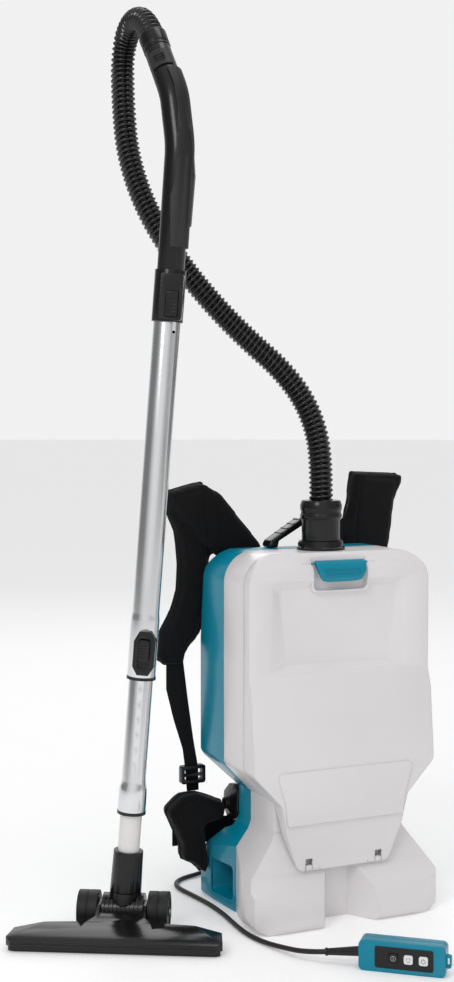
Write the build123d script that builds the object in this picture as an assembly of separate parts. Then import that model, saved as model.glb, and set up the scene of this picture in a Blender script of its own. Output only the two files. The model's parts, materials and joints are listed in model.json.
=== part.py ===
from build123d import *
import math
import os

# Backpack vacuum cleaner. Millimetres, +Z up. The origin is the centre of the pack's base on the
# floor, the pack's front faces -Y and its harness faces +Y. The wand stands at the pack's left.

# ---- driving dimensions -----------------------------------------------------------------------
WALL = 3.0
HALF_WIDTH = 148.0          # pack half width
WAIST_HALF = 104.0          # half width of the narrow waist above the feet
BLOCK_BOTTOM = 226.0        # where the upper block starts to narrow to the waist
WAIST_TOP = 180.0
BLOCK_TOP = 538.0
SHOULDER_R = 46.0           # round top corners of the block, seen from the front
PARTING_Y = -7.0            # white front housing ends and rear housing begins
DOOR_PARTING_Y = -74.0      # front cover ends and front housing begins
BASE_TOP = 136.0
FOOT_FRONT = -130.0
FOOT_HALF = 158.0           # widest point of the feet
BASE_REAR = 119.0
UPPER_REAR = 78.0
RUN_GAP = 0.4               # clearance between pieces that move past each other

HINGE_Y, HINGE_Z = -101.0, 84.0
HINGE_PIN_R = 2.0
PIN_FIT = 0.05              # radial clearance of every pin in its bore

INLET_Y = -30.0
INLET_R = 29.0

HOSE_D = 36.0
CABLE_D = 7.0

WAND_FOOT = (-305.3, -7.4, 0.0)   # on the floor under the elbow's centre
NOZZLE_YAW = -29.3
PIVOT_Z = 28.0              # height of the elbow's centre
WAND_LEAN = 4.33            # degrees from upright, towards the pack
NOZZLE_HALF = 150.0
NOZZLE_FRONT, NOZZLE_BACK = -105.0, -48.0     # from the wheels' axis
BARREL_R, BARREL_HALF = 25.0, 29.6
ARM_INNER, ARM_OUTER = 30.2, 35.2
WHEEL_R = 28.0
WHEEL_INNER, WHEEL_OUTER = 36.0, 65.0
AXLE_R = 3.0
AXLE_INNER, AXLE_OUTER = 18.0, 66.5

TUBE_R = 19.0               # outer telescope tube
INNER_R = 17.0              # inner telescope tube
SOCKET_R = 20.2             # widened end of the outer tube
TUBE_WALL = 1.2
NECK_TOP = 88.0             # distances along the wand's axis from the elbow centre
PIPE_TOP = 165.0
INNER_BOTTOM = 146.0
INNER_TOP = 600.0
OUTER_BOTTOM = 340.0
OUTER_TOP = 872.0
CONNECTOR_BOTTOM, CONNECTOR_TOP = 842.0, 914.0

GLAND = (-70.0, BASE_REAR, 24.0)
GLAND_NOSE = 24.0
HANDSET_START = (-78.0, -285.0, 0.0)
HANDSET_YAW = -40.8
HANDSET_LENGTH, HANDSET_HEIGHT, HANDSET_DEPTH = 116.0, 41.0, 28.0

parts = {}


# ---- helpers ----------------------------------------------------------------------------------
def outline(points, radius=0.0, inset=0.0):
    """Closed flat face through (u, v) points in the XY plane, its corners rounded."""
    line = FilletPolyline(*points, radius=radius, close=True) if radius else Polyline(*points, close=True)
    face = make_face(line)
    return offset(face, amount=-inset, kind=Kind.INTERSECTION) if inset else face


def along_z(face, start, end):
    return Pos(0, 0, start) * extrude(face, amount=end - start)


def along_y(face, start, end):
    """Face drawn as (x, z), extruded from y = start to y = end."""
    return Plane((0, end, 0), x_dir=(1, 0, 0), z_dir=(0, -1, 0)) * extrude(face, amount=end - start)


def along_x(face, start, end):
    """Face drawn as (y, z), extruded from x = start to x = end."""
    return Plane((start, 0, 0), x_dir=(0, 1, 0), z_dir=(1, 0, 0)) * extrude(face, amount=end - start)


def mirrored(points):
    """Points of the right half, then the same points on the left in reverse order."""
    return points + [(-x, z) for x, z in reversed(points)]


def cuboid(x0, x1, y0, y1, z0, z1):
    return Pos((x0 + x1) / 2, (y0 + y1) / 2, (z0 + z1) / 2) * Box(x1 - x0, y1 - y0, z1 - z0)


def rounded_box(x0, x1, y0, y1, z0, z1, radius, axis="Y"):
    """Box with the four edges along one axis rounded."""
    if axis == "Y":
        return along_y(outline([(x0, z0), (x1, z0), (x1, z1), (x0, z1)], radius), y0, y1)
    if axis == "X":
        return along_x(outline([(y0, z0), (y1, z0), (y1, z1), (y0, z1)], radius), x0, x1)
    return along_z(outline([(x0, y0), (x1, y0), (x1, y1), (x0, y1)], radius), z0, z1)


def turned(profile):
    """Solid of revolution about Z from (radius, z) points."""
    return revolve(make_face(Polyline(*[(r, 0, z) for r, z in profile], close=True)), Axis.Z)


def ring(outer, inner, z0, z1):
    return turned([(inner, z0), (outer, z0), (outer, z1), (inner, z1)])


def rod_x(radius, x0, x1, y, z):
    return Pos((x0 + x1) / 2, y, z) * Rot(0, 90, 0) * Cylinder(radius, x1 - x0)


def both_sides(solid):
    return [solid, mirror(solid, about=Plane.YZ)]


# ---- pack shells ------------------------------------------------------------------------------
BLOCK_FRONT_VIEW = mirrored([(WAIST_HALF, WAIST_TOP), (HALF_WIDTH, BLOCK_BOTTOM), (HALF_WIDTH, BLOCK_TOP)])
BLOCK_RADII = [10, 16, SHOULDER_R, SHOULDER_R, 16, 10]
BLOCK_SIDE_VIEW = [(-92, WAIST_TOP), (-92, BLOCK_TOP - 26), (-76, BLOCK_TOP), (PARTING_Y + 40, BLOCK_TOP),
                   (48, BLOCK_TOP - 1), (66, BLOCK_TOP - 28), (UPPER_REAR, 400), (UPPER_REAR, 232), (60, 206),
                   (40, WAIST_TOP)]
BASE_PLAN = [(107, FOOT_FRONT), (FOOT_HALF - 8, -116), (FOOT_HALF, -100), (128, PARTING_Y), (138, 60),
             (138, 100), (122, BASE_REAR)]
FOOT_CHANNEL = [(18, -82), (46, FOOT_FRONT)]
BASE_FRONT_VIEW = mirrored([(130, 0), (FOOT_HALF - 8, 10), (FOOT_HALF, 28), (FOOT_HALF, 50), (147, 74), (109, 124),
                            (WAIST_HALF, BASE_TOP)])
BASE_SIDE_VIEW = [(FOOT_FRONT + 8, 0), (FOOT_FRONT, 8), (FOOT_FRONT, 20), (-121, 50), (-97, 76), (-85, BASE_TOP),
                  (34, BASE_TOP), (38, 118), (54, 111), (BASE_REAR, 42), (BASE_REAR, 0)]


def upper_block(inset=0.0):
    body = along_y(outline(BLOCK_FRONT_VIEW, BLOCK_RADII, inset), -120, 100)
    return body & along_x(outline(BLOCK_SIDE_VIEW, 0, inset), -160, 160)


def waist(inset=0.0):
    side = WAIST_HALF - inset
    return cuboid(-side, side, -84 + inset, 34 - inset, BASE_TOP - 40, WAIST_TOP + 40)


def base(inset=0.0):
    plan = mirrored(FOOT_CHANNEL + BASE_PLAN)
    body = along_z(outline(plan, 0, inset), inset, BASE_TOP - inset)
    body = body & along_y(outline(BASE_FRONT_VIEW, 0, inset), -160, 160)
    return body & along_x(outline(BASE_SIDE_VIEW, 0, inset), -160, 160)


FRONT_SIDE = cuboid(-200, 200, -300, PARTING_Y, -10, 700)
REAR_SIDE = cuboid(-200, 200, PARTING_Y, 300, -10, 700)
DOOR_SIDE = cuboid(-200, 200, -300, DOOR_PARTING_Y, WAIST_TOP, 700)
INLET_BORE = Pos(0, INLET_Y, 530) * Cylinder(INLET_R, 60)


def battery_bay(side):
    """Open space that takes one battery through the side of the base."""
    x0, x1 = (HALF_WIDTH + 10, 62) if side > 0 else (-62, -HALF_WIDTH - 10)
    return rounded_box(min(x0, x1), max(x0, x1), 2, 64, 14, 66, 8, "X")


def make_rear_housing():
    outer = upper_block() + waist() + base()
    inner = upper_block(WALL) + waist(WALL) + base(WALL)
    shell = (outer - inner) & REAR_SIDE
    # each battery bay is a box let into the side of the base
    for side in (-1, 1):
        lining = rounded_box(*((60, 134) if side > 0 else (-134, -60)), -1, 67, 11, 69, 9, "X")
        shell = shell + (lining & base()) - battery_bay(side)
    slots = [cuboid(x - 2.5, x + 2.5, 60, 110, 246, 284) for x in range(-100, 101, 20)]
    gland_hole = Pos(GLAND[0], BASE_REAR, GLAND[2]) * Rot(90, 0, 0) * Cylinder(6, 20)
    return shell - slots - gland_hole - INLET_BORE


def make_front_housing():
    outer = upper_block() + waist() + base()
    inner = upper_block(WALL) + waist(WALL) + base(WALL)
    shell = ((outer - inner) & FRONT_SIDE) - DOOR_SIDE
    shell = shell - cuboid(-90, 90, -110, -70, WAIST_TOP + 6, 240)
    # hinge ears stand on the front of the base at each side of the cover's barrel
    for x0, x1 in ((-62, -52.4), (52.4, 62)):
        ear = cuboid(x0, x1, HINGE_Y - 2, -80, HINGE_Z - 4, HINGE_Z + 4) + rod_x(4.5, x0, x1, HINGE_Y, HINGE_Z)
        shell = shell + ear
    shell = shell - rod_x(HINGE_PIN_R, -70, 70, HINGE_Y, HINGE_Z)
    return shell - INLET_BORE


# The cover's tongue runs down over the waist and ends above the feet.
COVER_BOTTOM = 80.5
DOOR_SIDE_VIEW = [(-104, COVER_BOTTOM), (-111, 180), (-111, 236), (-102, 333), (-93, 360), (-93, BLOCK_TOP - 26),
                  (-78, BLOCK_TOP), (DOOR_PARTING_Y, BLOCK_TOP), (DOOR_PARTING_Y, WAIST_TOP + 0.6),
                  (-84.6, WAIST_TOP + 0.6), (-86, WAIST_TOP - 4), (-98, COVER_BOTTOM)]
DOOR_FRONT_VIEW = mirrored([(74, COVER_BOTTOM), (94, 132), (WAIST_HALF, WAIST_TOP), (HALF_WIDTH, BLOCK_BOTTOM),
                            (HALF_WIDTH, BLOCK_TOP)])
DOOR_RADII = [12, 12, 12, 16, SHOULDER_R, SHOULDER_R, 16, 12, 12, 12]
LATCH_HALF = 42.0
LATCH_PIN_R = 1.5


def make_front_cover():
    outer = along_y(outline(DOOR_FRONT_VIEW, DOOR_RADII), -130, DOOR_PARTING_Y - RUN_GAP)
    outer = outer & along_x(outline(DOOR_SIDE_VIEW), -160, 160)
    inner = along_y(outline(DOOR_FRONT_VIEW, DOOR_RADII, WALL), -130, -60)
    hollow_view = [(-101, 88), (-107, 180), (-107.5, 236), (-98.5, 333), (-90, 361), (-90, 509),
                   (-77, BLOCK_TOP - 5), (-60, BLOCK_TOP - 4), (-60, 88)]
    inner = inner & along_x(outline(hollow_view), -160, 160)
    # shallow field between bevelled borders
    field_top = [(-118, 366), (118, 366), (112, 500), (-112, 500)]
    field_floor = [(-84, 378), (84, 378), (98, 488), (-98, 488)]
    field = loft([Pos(0, -94, 0) * Rot(90, 0, 0) * outline(field_top, 10),
                  Pos(0, -84, 0) * Rot(90, 0, 0) * outline(field_floor, 6)])
    inner = inner - cuboid(-122, 122, -92, -81, 360, 506)
    cover = outer - inner - field
    # raised lower panel and the finger pocket under the latch
    panel_view = mirrored([(73, 82), (93, 134), (99, 182), (113, 228)])
    cover = cover + (along_y(outline(panel_view, 8), -113, -109) - cuboid(-160, 160, -120, -100, 60, 150))
    pocket = rounded_box(-LATCH_HALF - 2, LATCH_HALF + 2, -110, -82, 484, BLOCK_TOP + 12, 8)
    pocket_wall = rounded_box(-LATCH_HALF - 5, LATCH_HALF + 5, -92, -79, 481, BLOCK_TOP, 8) & outer
    cover = cover + pocket_wall - pocket - rod_x(LATCH_PIN_R + PIN_FIT, -60, 60, -87.5, 523)
    for x0, x1 in ((-51.6, -40), (40, 51.6)):
        knuckle = rod_x(4.5, x0, x1, HINGE_Y, HINGE_Z)
        arm = cuboid(x0, x1, -104, HINGE_Y + 1, HINGE_Z, HINGE_Z + 10)
        cover = cover + knuckle + arm
    clear_feet = cuboid(-63, -51.6, -106, -80, HINGE_Z - 6, HINGE_Z + 14)
    cover = cover - both_sides(clear_feet)
    return cover - rod_x(HINGE_PIN_R + PIN_FIT, -70, 70, HINGE_Y, HINGE_Z)


def make_latch():
    """Curved pull tab that hangs from its own pin in the cover's pocket."""
    side = [(-99, 496), (-101, 505), (-99, 520), (-90, 527.5), (-85.5, 527.5), (-85.5, 524), (-91, 519), (-94, 505),
            (-94, 496)]
    tab = along_x(outline(side, 1.2), -LATCH_HALF, LATCH_HALF)
    tab = tab & along_y(outline(mirrored([(31, 494), (38, 502), (LATCH_HALF, 520), (LATCH_HALF, 532)])), -120, -60)
    barrel = rod_x(3.2, -30, 30, -87.5, 523)
    return tab + barrel + rod_x(LATCH_PIN_R, -LATCH_HALF - 4, LATCH_HALF + 4, -87.5, 523)


# ---- inside the pack --------------------------------------------------------------------------
BAG_BOTTOM, BAG_TOP = 302.0, 498.0
MOTOR_Y = -25.0


def make_bulkhead():
    plate = rounded_box(-136, 136, -66, 60, 239, 242, 10, "Z")
    return plate - Pos(0, MOTOR_Y, 240) * Cylinder(30, 10)


def make_filter():
    """Cartridge with a frame and straight pleats."""
    frame_box = rounded_box(-104, 104, -62, 50, 244, 292, 8, "Z")
    pleats = [cuboid(x - 2, x + 2, -54, 42, 262, 300) for x in range(-90, 91, 12)]
    port = Pos(0, MOTOR_Y, 244) * Cylinder(30, 20)
    return frame_box - pleats - port


def make_bag():
    return rounded_box(-108, 108, -62, 50, BAG_BOTTOM, BAG_TOP, 22)


def make_bag_collar():
    plate = rounded_box(-42, 42, -64, 12, BAG_TOP + 0.4, BAG_TOP + 5, 8, "Z")
    return plate - Pos(0, INLET_Y, 500) * Cylinder(23, 20)


def make_motor():
    can = Pos(0, MOTOR_Y, 0) * turned([(4 + PIN_FIT, 100), (40, 100), (44, 106), (44, 166), (36, 171),
                                       (4 + PIN_FIT, 171)])
    ribs = [Pos(0, MOTOR_Y, 0) * Rot(0, 0, turn) * cuboid(38, 45.5, -2, 2, 108, 162) for turn in range(0, 360, 30)]
    return can + ribs


def make_shroud():
    shell = turned([(30, 172), (52, 172), (52, 206), (24, 206), (24, 203.5), (49.5, 203.5), (49.5, 174.5),
                    (30, 174.5)])
    return Pos(0, MOTOR_Y, 0) * shell


def make_impeller():
    hub = turned([(0, 92), (4, 92), (4, 176), (46, 176), (46, 178), (14, 178), (9, 198), (0, 198)])
    blades = [Rot(0, 0, turn) * cuboid(8, 45, -1, 1, 177, 197) for turn in range(0, 360, 40)]
    return Pos(0, MOTOR_Y, 0) * (hub + blades)


def make_board():
    board = cuboid(60, 62, -64, 8, 100, 176)
    chips = [cuboid(62, 68, y, y + 14, z, z + 16) for y in (-56, -34, -12) for z in (108, 134)]
    return board + chips


def make_terminals():
    """Blade contacts at the inner wall of each battery bay."""
    block = cuboid(62, 70, 18, 48, 22, 46)
    blades = [cuboid(70, 82, y, y + 1.5, 26, 42) for y in (22, 32, 42)]
    return Compound(children=both_sides(block + blades))


def make_gland():
    body = turned([(0, -6), (6, -6), (6, 0), (9, 0), (9, 3), (7, 4), (4.6, GLAND_NOSE), (0, GLAND_NOSE)])
    return Pos(*GLAND) * Rot(-90, 0, 0) * body


# ---- inlet, hose and cuffs --------------------------------------------------------------------
HOSE_POCKET_R = HOSE_D / 2 + 0.3
HOSE_START_Z = 590.0
# Handle path in the nozzle's frame: from the connector up the straight grip, then over and back.
HANDLE_PATH = [(68.4, 0.0, 932.0), (80.9, 0.0, 1112.0), (71.4, 12.0, 1186.0), (46.4, 40.0, 1252.0)]
HANDLE_RADII = [150, 100]
HANDLE_R = 19.2
HANDLE_WALL = 2.0
HANDLE_END = Vector(*HANDLE_PATH[-1])
HANDLE_DIRECTION = (HANDLE_END - Vector(*HANDLE_PATH[-2])).normalized()
CUFF_LENGTH = 28.0
CUFF_SHOULDER = 12.0
nozzle_place = Pos(*WAND_FOOT) * Rot(0, 0, NOZZLE_YAW)
handle_end_place = nozzle_place * Plane(HANDLE_END, x_dir=(0, 1, 0), z_dir=HANDLE_DIRECTION).location
inlet_place = Pos(0, INLET_Y, 0)


def make_socket():
    """Flanged ring that the hose cuff turns in, with a catch lug at each side."""
    body = turned([(22, 506), (INLET_R - 0.2, 506), (INLET_R - 0.2, BLOCK_TOP), (36, BLOCK_TOP), (36, 541),
                   (33, 543), (33, 551), (29.2, 551), (29.2, 541), (22, 541)])
    return inlet_place * (body + both_sides(rod_x(3.2, 31, 37, 0, 547)))


def make_hose_cuff():
    return inlet_place * turned([(17, 512), (21.6, 512), (21.6, 541.4), (28.6, 541.4), (28.6, 583), (31, 586),
                                 (31, 590), (30, 591), (30, 596), (31, 597), (31, 604), (28.5, 611),
                                 (HOSE_POCKET_R, 611), (HOSE_POCKET_R, HOSE_START_Z - RUN_GAP),
                                 (17, HOSE_START_Z - RUN_GAP)])


def make_hose_end_cuff():
    body = turned([(15.5, 0.4), (19.8, 0.4), (19.8, 3), (18.9, 4), (18.9, 6), (19.8, 7), (20.4, CUFF_LENGTH - 3),
                   (19.6, CUFF_LENGTH), (HOSE_POCKET_R, CUFF_LENGTH), (HOSE_POCKET_R, CUFF_SHOULDER - RUN_GAP),
                   (15.5, CUFF_SHOULDER - RUN_GAP)])
    return handle_end_place * body


def route_radii(points):
    """As large an arc at each corner as its two runs allow."""
    corners = [Vector(*p) for p in points]
    radii = []
    for before, here, after in zip(corners, corners[1:], corners[2:]):
        turn = math.radians((here - before).get_angle(after - here))
        shorter = min((here - before).length, (after - here).length)
        radii.append(0.45 * shorter / math.tan(turn / 2))
    return radii


def cord_tube(name, points, diameter):
    radii = route_radii(points)
    path = FilletPolyline(*points, radius=radii)
    tube = sweep(Plane(path @ 0, z_dir=path % 0) * Circle(diameter / 2), path=path)
    section = math.pi * diameter ** 2 / 4
    print(name, "radii", [round(r) for r in radii], "length", round(path.length),
          "volume ratio", round(tube.volume / (section * path.length), 4))
    return tube


# Control points of the hose, from the inlet cuff, past the wand and over its top into the handle.
hose_end = (handle_end_place * Pos(0, 0, CUFF_SHOULDER)).position
HOSE_ROUTE = [(0, INLET_Y, HOSE_START_Z), (0.3, -30.3, 648), (-3.5, -26, 708), (-20, -14, 760), (-50, 4.5, 806),
              (-91, 29, 848), (-133, 54, 897), (-180, 81, 962), (-223, 106, 1041), (-247, 121, 1122),
              (-253, 124, 1200), (-254, 124, 1278), (-254, 82, 1313), (-251.4, 32.6, 1302.4), tuple(hose_end)]
# The handset's cable leaves the rear of the base, folds back and runs forward on the floor.
CABLE_ROUTE = [(GLAND[0], GLAND[1] + GLAND_NOSE, GLAND[2]), (-71, 163, 19.5), (-86, 177, 9), (-112, 176, 4),
               (-140, 167, 4), (-160, 151, 4), (-167, 124, 4), (-160, 82, 4), (-154, 34, 4), (-153, -16, 4),
               (-157, -64, 4), (-159, -108, 4), (-152, -150, 4.4), (-139, -190, 7.4), (-126, -225.1, 11.5)]


# ---- harness ----------------------------------------------------------------------------------
STRAP_Y = (86.0, 98.0)      # layer that rises from the harness plate
PAD_Y = (98.0, 116.0)       # padded layer that hangs from the fold at its top


def make_harness_plate():
    plate = rounded_box(-62, 62, UPPER_REAR + 0.4, 84, 262, 520, 22)
    slots = [rounded_box(x - 16, x + 16, 70, 90, 492, 500, 3) for x in (-34, 34)]
    return plate - slots


def make_back_pad():
    return rounded_box(-96, 96, 84.4, 104, 286, 470, 20)


LEFT_STRAP_VIEW = [(-36, 542), (-73, 585), (-104, 621), (-132, 637), (-190, 624), (-184, 606), (-108, 516), (-36, 508)]
LEFT_PAD_VIEW = [(-132, 637), (-194, 624), (-193, 589), (-185, 560), (-180, 510), (-182, 472), (-190, 445),
                 (-207, 405), (-210, 366), (-197, 354), (-164, 352), (-160, 370), (-136, 402), (-122, 450),
                 (-118, 520)]
RIGHT_STRAP_VIEW = [(36, 508), (36, 542), (100, 578), (112, 606), (124, 649), (213, 645), (212, 630), (200, 600),
                    (193, 551), (186, 516)]
RIGHT_PAD_VIEW = [(124, 649), (213, 645), (204, 600), (194, 540), (192, 470), (206, 405), (208, 366), (196, 354),
                  (163, 352), (158, 372), (136, 404), (118, 450), (112, 560)]


def make_shoulder_pad(strap_view, pad_view):
    return along_y(outline(strap_view, 3), *STRAP_Y) + along_y(outline(pad_view, 3), *PAD_Y)


def make_strap_webbing():
    side = [(-194, 351), (-194, 320), (-182, 273), (-167, 226), (-163, 196), (-160, 160), (-140, 160), (-141, 196),
            (-149, 240), (-158, 302), (-166, 351)]
    return Compound(children=both_sides(along_y(outline(side), 103, 105.4)))


def make_strap_adjusters():
    frame_solid = rounded_box(-171, -131, 98.6, 109, 172, 200, 4)
    window = rounded_box(-165.5, -136.5, 80, 120, 177.5, 194.5, 2)
    bar = cuboid(-165.5, -136.5, 99, 102.6, 183, 188)
    webbing_slot = cuboid(-166, -137.5, 102.8, 105.6, 160, 210)
    return Compound(children=both_sides(frame_solid - window + bar - webbing_slot))


def make_hip_brackets():
    """Arms behind the waist that carry the hip pads, each with a round pivot boss."""
    view = [(34.2, 138), (34.2, 173), (46, 179), (64, 176), (84, 160), (86, 134), (70, 122), (50, 122), (40, 128)]
    arm = along_x(outline(view, 3), -WAIST_HALF - 3, -90)
    boss = rod_x(9, -WAIST_HALF - 8, -WAIST_HALF - 3, 72, 144)
    return Compound(children=both_sides(arm + boss))


HIP_PAD_VIEW = [(-112, 150), (-112, 126), (-142, 114), (-142, 48), (-149, 38), (-165, 56), (-183, 64), (-184, 86),
                (-192, 106), (-207, 141), (-183, 163), (-158, 166), (-127, 155)]


def make_hip_pad():
    return along_y(outline(HIP_PAD_VIEW, 3), 62, 98)


def make_belt_webbing():
    return Compound(children=both_sides(cuboid(-186, -36, 98.4, 101, 78, 116)))


def make_buckle_socket():
    body = rounded_box(-38, 6, 94, 108, 72, 122, 5)
    tongue_space = cuboid(-26, 20, 96.6, 105.4, 80, 114)
    slots = [cuboid(-24, -6, 90, 112, 68, 78.5), cuboid(-24, -6, 90, 112, 115.5, 126)]
    webbing_slot = cuboid(-50, -30, 98, 101.6, 77, 117)
    return body - tongue_space - slots - webbing_slot


def make_buckle_tongue():
    yoke = rounded_box(8, 38, 94, 108, 76, 118, 5) - cuboid(30, 50, 98, 101.6, 77, 117)
    prongs = [cuboid(-24, 9, 97, 105, z, z + 6) for z in (81, 94, 107)]
    return yoke + prongs


def make_carry_handle():
    foot = BLOCK_TOP + 0.2
    outer = [(-66, foot), (-60, 549), (-10, 580), (10, 580), (60, 549), (66, foot)]
    inner = [(-50, foot - 6), (-47, 548), (-8, 570), (8, 570), (47, 548), (50, foot - 6)]
    return along_y(outline(outer, 4) - outline(inner, 3), 14, 40) - cuboid(-90, 90, 0, 60, 500, foot)


# ---- wand: parts are drawn about their own axis, from the elbow centre up -----------------------
wand_place = nozzle_place * Pos(0, 0, PIVOT_Z) * Rot(0, WAND_LEAN, 0)


def handle_sweep(radius):
    path = FilletPolyline(*HANDLE_PATH, radius=HANDLE_RADII)
    return sweep(Plane(path @ 0, z_dir=path % 0) * Circle(radius), path=path)


def make_handle_pipe():
    bleed = Plane(HANDLE_END, x_dir=(0, 1, 0), z_dir=HANDLE_DIRECTION).location
    hole = bleed * Pos(-HANDLE_R, 0, -24) * Box(8, 9, 14)
    return nozzle_place * (handle_sweep(HANDLE_R) - handle_sweep(HANDLE_R - HANDLE_WALL) - hole)


def make_handle_grip():
    """Soft outer half of the grip, thicker along the palm, that ends short of the bleed slider."""
    view = [(71, 970), (121, 970), (131, 1100), (111, 1215), (76, 1262), (60, 1232), (75, 1196), (81, 1160),
            (81, 1120), (77, 1060), (75, 1052), (71, 1040)]
    zone = along_y(outline(view), -52, 78)
    palm = along_y(outline([(88, 1000), (97, 1000), (103, 1070), (99, 1140), (89, 1140)], 3), -10, 10)
    sleeve = (handle_sweep(HANDLE_R + 3.4) & zone) + palm
    return nozzle_place * (sleeve - handle_sweep(HANDLE_R + 0.1)) - handle_end_place * Pos(0, 0, -10) * Cylinder(40, 70)


def make_bleed_slider():
    sleeve = ring(HANDLE_R + 2.6, HANDLE_R + RUN_GAP, -38, -12)
    wedge = cuboid(-40, -8, -15, 15, -60, 20)
    ridges = [cuboid(-HANDLE_R - 3.6, -HANDLE_R - 2, -8, 8, z, z + 1.4) for z in (-30, -26, -22)]
    return handle_end_place * ((sleeve & wedge) + ridges)


def make_connector():
    block = ring(22, TUBE_R + 0.1, CONNECTOR_BOTTOM, OUTER_TOP) + ring(22, HANDLE_R + 0.1, OUTER_TOP, CONNECTOR_TOP)
    boss = rounded_box(-10, 22, -27, -8, CONNECTOR_BOTTOM + 2, CONNECTOR_TOP - 6, 3)
    boss = boss - Pos(0, 0, 850) * Cylinder(21.5, 200)
    pocket = rounded_box(-1, 17, -40, -23.4, 848, 884, 2)
    return wand_place * (block + boss - pocket)


def make_release_tab():
    tab = rounded_box(-0.5, 16.5, -29.6, -24.6, 848.5, 883.5, 2)
    grooves = [cuboid(2, 14, -30, -29, z, z + 1.2) for z in (856, 861, 866, 871)]
    return wand_place * (tab - grooves)


def make_outer_tube():
    body = turned([(SOCKET_R, OUTER_BOTTOM), (SOCKET_R, 420), (TUBE_R, 432), (TUBE_R, OUTER_TOP),
                   (TUBE_R - TUBE_WALL, OUTER_TOP), (TUBE_R - TUBE_WALL, 431), (SOCKET_R - TUBE_WALL, 419),
                   (SOCKET_R - TUBE_WALL, OUTER_BOTTOM)])
    lock_slot = cuboid(0, 10, -30, -10, 368, 388)
    pin_hole = Pos(12, -16, 828) * Rot(90, 0, 0) * Cylinder(2, 20)
    return wand_place * (body - lock_slot - pin_hole)


def make_socket_ring():
    """Wiper ring in the mouth of the outer tube."""
    return wand_place * turned([(INNER_R + RUN_GAP, OUTER_BOTTOM - 4), (SOCKET_R + 0.8, OUTER_BOTTOM - 4),
                                (SOCKET_R + 0.8, OUTER_BOTTOM), (SOCKET_R - TUBE_WALL, OUTER_BOTTOM),
                                (SOCKET_R - TUBE_WALL, OUTER_BOTTOM + 20), (INNER_R + RUN_GAP, OUTER_BOTTOM + 20)])


def make_telescope_case():
    side = [(-3, 346), (13, 346), (20, 358), (20, 394), (13, 408), (-3, 408), (-10, 394), (-10, 358)]
    body = along_y(outline(side, 2), -31, -8) - Pos(0, 0, 380) * Cylinder(SOCKET_R + 0.1, 100)
    pocket = rounded_box(-3, 13, -40, -26.4, 356, 398, 3)
    return wand_place * (body - pocket)


def make_telescope_slider():
    body = rounded_box(-2.5, 12.5, -34, -26.9, 366, 396, 3)
    grooves = [cuboid(-1, 11, -35, -33, z, z + 1.5) for z in range(372, 391, 4)]
    return wand_place * (body - grooves)


def make_inner_tube():
    body = turned([(20, INNER_BOTTOM), (20, 176), (INNER_R, 190), (INNER_R, INNER_TOP),
                   (INNER_R - TUBE_WALL, INNER_TOP), (INNER_R - TUBE_WALL, 189.5), (18.8, 175.5),
                   (18.8, INNER_BOTTOM)])
    notches = [cuboid(0, 9, -INNER_R - 1, -INNER_R + 0.8, z, z + 7) for z in range(214, 540, 22)]
    return wand_place * (body - notches)


def make_tube_end_ring():
    return wand_place * turned([(15.6, INNER_BOTTOM - 4), (20.6, INNER_BOTTOM - 4), (20.6, INNER_BOTTOM),
                                (18.7, INNER_BOTTOM), (18.7, INNER_BOTTOM + 12), (15.6, INNER_BOTTOM + 12)])


def make_connector_pipe():
    return wand_place * ring(15.5, 13.3, 58, PIPE_TOP)


def make_neck():
    body = turned([(18.4, 30), (22.5, 30), (21.6, 60), (21.2, NECK_TOP), (15.6, NECK_TOP), (15.6, 57),
                   (18.4, 55)])
    return wand_place * body


def make_elbow():
    """Ribbed barrel between the nozzle's arms, and the leaning spigot that the neck turns on."""
    barrel = rod_x(BARREL_R, -BARREL_HALF, BARREL_HALF, 0, 0)
    stem = ring(22.5, 12, 0, 29.6) + ring(18.4 - RUN_GAP, 12, 29.6, 50)
    skin = rod_x(BARREL_R + 1, -30, 30, 0, 0) - rod_x(BARREL_R - 2.2, -30, 30, 0, 0)
    grooves = [skin & cuboid(x - 1.5, x + 1.5, -30, -5, -6, 22) for x in range(-24, 25, 6)]
    throat = cuboid(-13, 13, -30, 0, -16, 4)
    bores = both_sides(rod_x(AXLE_R + PIN_FIT, AXLE_INNER - 0.3, 40, 0, 0))
    lean = Rot(0, WAND_LEAN, 0)
    body = barrel + lean * stem - lean * Pos(0, 0, 30) * Cylinder(12, 60)
    return nozzle_place * Pos(0, 0, PIVOT_Z) * (body - grooves - throat - bores)


# ---- floor nozzle, drawn from the wheels' axis with its mouth towards -Y ------------------------
NOZZLE_PLAN = mirrored([(28, -20), (38, NOZZLE_BACK), (108, NOZZLE_BACK), (NOZZLE_HALF - 4, -62),
                        (NOZZLE_HALF, -98), (NOZZLE_HALF - 7, NOZZLE_FRONT)])
NOZZLE_PROFILE = [(NOZZLE_FRONT, 8), (NOZZLE_FRONT, 16), (-98, 21), (-62, 30), (-20, 36), (-20, 8)]
NOZZLE_FRONT_VIEW = mirrored([(NOZZLE_HALF, 8), (NOZZLE_HALF, 20), (104, 25), (50, 27), (38, 36), (30, 40)])
ARM_VIEW = [(-54, 9), (-54, 28), (-24, 43), (-6, 46), (8, 42), (13, 28), (6, 14), (-20, 9)]
SOLE_EDGE = 3.0             # the sole stands this far inside the cover's edge


def nozzle_hull(inset):
    body = along_z(outline(NOZZLE_PLAN, 0, inset), 0, 60)
    body = body & along_x(outline(NOZZLE_PROFILE, 0, inset), -200, 200)
    return body & along_y(outline(NOZZLE_FRONT_VIEW, 0, inset), -150, 100)


def sole_plan(inset):
    edge = NOZZLE_HALF - inset
    front, back = NOZZLE_FRONT + inset, NOZZLE_BACK - inset
    return outline(mirrored([(106, back), (edge - 4, -63), (edge, -98), (edge - 7, front)]))


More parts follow.
